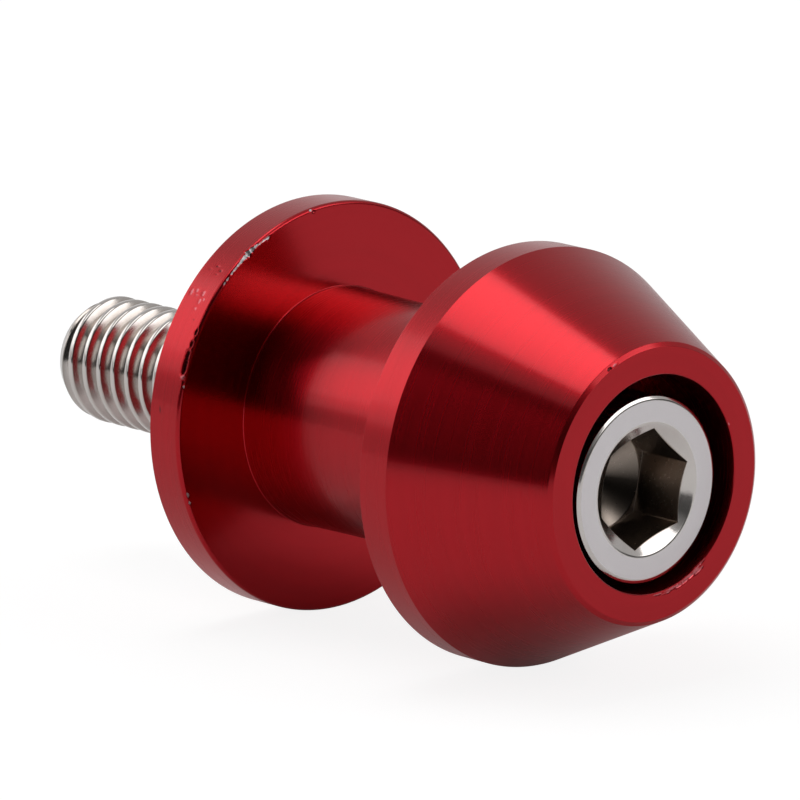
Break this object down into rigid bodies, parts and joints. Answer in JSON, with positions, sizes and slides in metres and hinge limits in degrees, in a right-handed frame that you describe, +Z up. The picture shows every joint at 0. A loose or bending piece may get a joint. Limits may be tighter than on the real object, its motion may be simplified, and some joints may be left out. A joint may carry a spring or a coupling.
{
  "type": "swingarm spool",
  "caption": "Turned spool with a waisted neck between rims and a tapered nose, fastened to a motorcycle swingarm by a recessed socket screw; a paddock stand hooks under the neck.",
  "frame": {"origin": "centre of the spool's back face, the face that is clamped against the swingarm", "axes": "+Y along the spool's axis, out of the back face and towards the threaded end; the nose and the hexagon socket point to -Y; +Z is up, as the object lies in the picture"},
  "size_m": [0.032, 0.0634, 0.032],
  "materials": {
    "anodised_aluminium": "red anodised over a fine turned surface, with bare metal at chips",
    "screw_steel": "bright plated steel, satin on the head's face"
  },
  "bodies": {
    "spool": {"spool_body": "anodised_aluminium"},
    "screw": {"socket_cap_screw": "screw_steel"}
  },
  "joints": [
    {"name": "screw_turn", "type": "hinge", "parent": "spool", "child": "screw", "pos_m": [0, 0, -0.00055], "axis": [0, 1, 0], "continuous": true}
  ]
}
